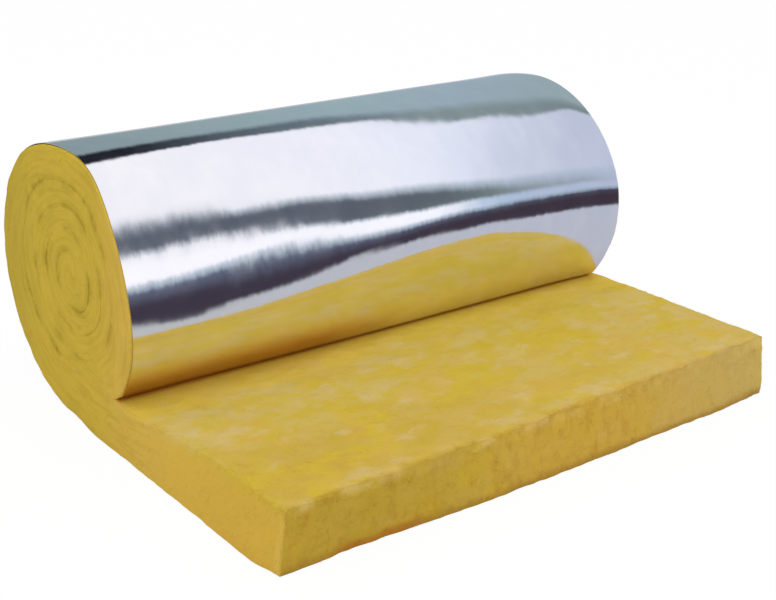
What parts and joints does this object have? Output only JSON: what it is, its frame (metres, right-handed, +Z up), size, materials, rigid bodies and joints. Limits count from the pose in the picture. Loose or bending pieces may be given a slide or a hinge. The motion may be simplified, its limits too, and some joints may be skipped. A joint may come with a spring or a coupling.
{
  "type": "insulation roll",
  "caption": "Foil-faced glass wool insulation blanket, rolled with the foil outside and its free end laid out flat, wool side up, for lining walls, roofs and ducts.",
  "frame": {"origin": "middle of the footprint, on the floor", "axes": "+X along the roll's axis, -Y from the roll towards the cut end of the blanket, +Z up"},
  "size_m": [1.2, 0.9499, 0.52],
  "materials": {
    "glass_wool": "matte, fibrous",
    "foil": "bright, finely crinkled"
  },
  "bodies": {
    "root": {"wool_blanket": "glass_wool", "foil_facing": "foil"}
  },
  "joints": []
}
